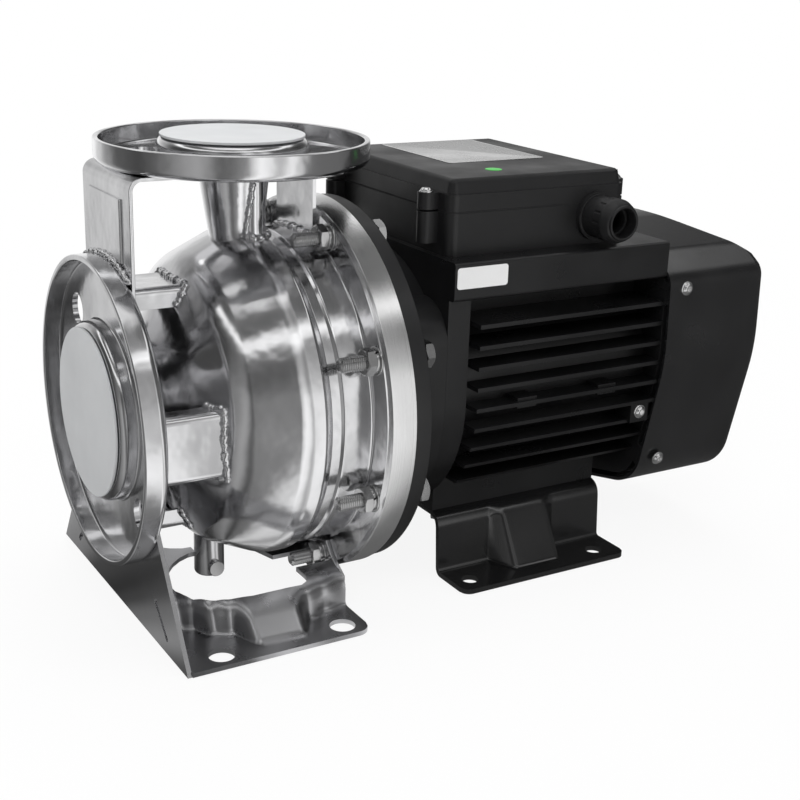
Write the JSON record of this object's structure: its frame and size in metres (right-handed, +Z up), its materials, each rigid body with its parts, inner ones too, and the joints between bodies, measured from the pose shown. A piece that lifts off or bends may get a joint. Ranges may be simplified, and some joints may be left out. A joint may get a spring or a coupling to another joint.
{
  "type": "flanged pump",
  "caption": "Close-coupled centrifugal pump of pressed stainless steel with pipe flanges, struts, a stamped foot and a finned black motor with terminal box.",
  "frame": {"origin": "centre of the pump foot's bolt holes, on the base plane", "axes": "+X along the shaft from the suction flange to the motor, +Z up, +Y to the side away from the cable gland"},
  "size_m": [0.3953, 0.212, 0.2538],
  "materials": {
    "stainless": "polished pressed sheet",
    "turned_steel": "satin turned",
    "bolt_steel": "bright zinc",
    "foot_steel": "smooth sheet",
    "black_cast": "satin black paint",
    "black_alloy": "satin black paint",
    "black_sheet": "satin black paint",
    "black_plastic": "fine grained",
    "cap_plastic": "satin grey",
    "rubber": "matte",
    "ceramic": "lapped",
    "copper": "enamelled winding",
    "lamination": "stacked sheet",
    "plate_metal": "satin plate",
    "label_film": "blank label"
  },
  "bodies": {
    "pump": {"suction_flange": "stainless", "discharge_flange": "stainless", "casing_shell": "stainless", "discharge_neck": "stainless", "neck_post": "stainless", "casing_ribs": "stainless", "front_strut": "stainless", "rear_strut": "stainless", "drain_boss": "stainless", "drain_plug": "bolt_steel", "casing_gasket": "rubber", "casing_cover": "turned_steel", "motor_adaptor": "black_cast", "casing_bolts": "bolt_steel", "casing_washers": "bolt_steel", "casing_nuts": "bolt_steel", "pump_foot_plate": "foot_steel", "pump_foot_saddle": "foot_steel", "pump_foot_yoke": "foot_steel", "inlet_guide": "stainless", "volute_guide": "stainless", "wear_ring": "cap_plastic", "seal_seat": "ceramic", "bearing_outer_races": "turned_steel", "bearing_seals": "rubber", "stator_core": "lamination", "stator_windings": "copper", "motor_frame": "black_alloy", "frame_side_screws": "bolt_steel", "rear_endshield": "black_alloy", "fan_cover": "black_sheet", "fan_cover_screws": "bolt_steel", "motor_foot": "black_sheet", "motor_foot_screws": "bolt_steel", "terminal_box": "black_plastic", "terminal_box_lid": "black_plastic", "lid_gasket": "rubber", "lid_screws": "bolt_steel", "terminal_board": "black_plastic", "terminal_studs": "bolt_steel", "gland_body": "black_plastic", "gland_nut": "black_plastic", "gland_seal": "rubber", "nameplate": "plate_metal", "side_label": "label_film"},
    "rotor": {"impeller": "stainless", "impeller_key": "turned_steel", "impeller_nut": "bolt_steel", "seal_ring": "ceramic", "seal_spring": "turned_steel", "shaft": "turned_steel", "bearing_inner_races": "turned_steel", "rotor_core": "lamination", "rotor_end_rings": "plate_metal", "fan": "black_plastic", "fan_clip": "turned_steel"},
    "suction_cap": {"suction_cover": "cap_plastic"},
    "discharge_cap": {"discharge_cover": "cap_plastic"}
  },
  "joints": [
    {"name": "rotor_spin", "type": "hinge", "parent": "pump", "child": "rotor", "pos_m": [0, 0, 0.112], "axis": [1, 0, 0], "continuous": true},
    {"name": "suction_cover_pull", "type": "slide", "parent": "pump", "child": "suction_cap", "axis": [-1, 0, 0], "range_m": [0, 0.04]},
    {"name": "discharge_cover_lift", "type": "slide", "parent": "pump", "child": "discharge_cap", "axis": [0, 0, 1], "range_m": [0, 0.04]}
  ]
}
